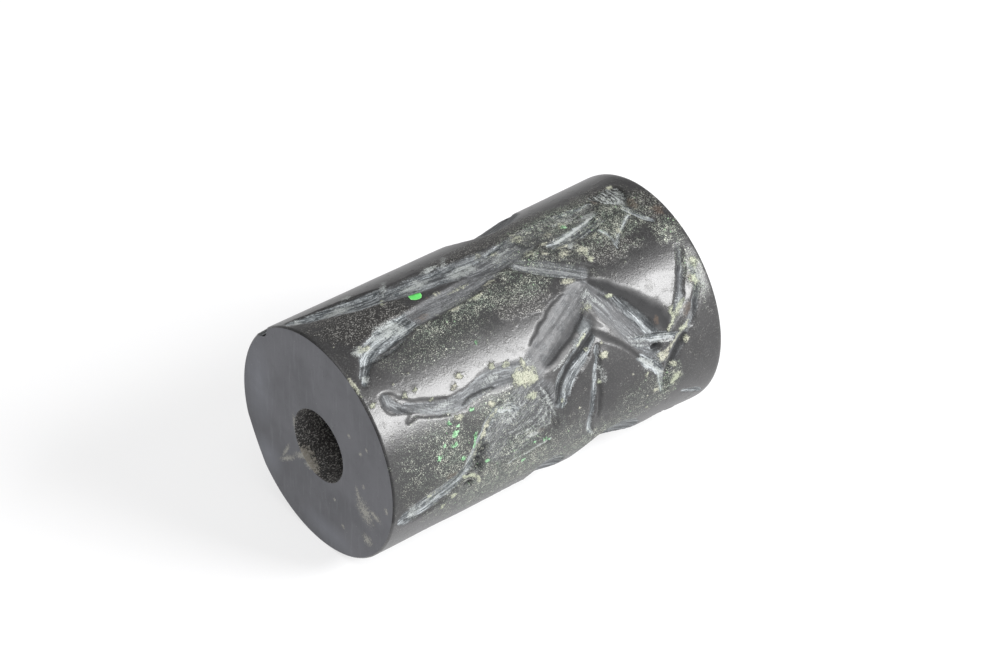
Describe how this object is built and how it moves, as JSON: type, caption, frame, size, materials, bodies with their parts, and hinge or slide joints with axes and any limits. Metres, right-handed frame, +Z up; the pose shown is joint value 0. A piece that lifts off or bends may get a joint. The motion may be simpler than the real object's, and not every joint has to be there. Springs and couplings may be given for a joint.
{
  "type": "cylinder seal",
  "caption": "Engraved stone cylinder seal, bored end to end, lying on its side. Rolled over clay, it leaves a frieze of heroes and animals.",
  "frame": {"origin": "middle of the seal's length, on the surface it lies on, at the small flat that keeps it from rolling", "axes": "+X along the barrel's axis from the crisp end to the more worn end, +Z up, away from the flat. The engraved figures' feet are at the -X end"},
  "size_m": [0.0344, 0.0206, 0.0205],
  "materials": {
    "stone": "dark grey to black stone, worn to a semi-gloss polish outside, paler and matt in the cuts, with mineral crusts"
  },
  "bodies": {
    "root": {"seal": "stone"}
  },
  "joints": []
}
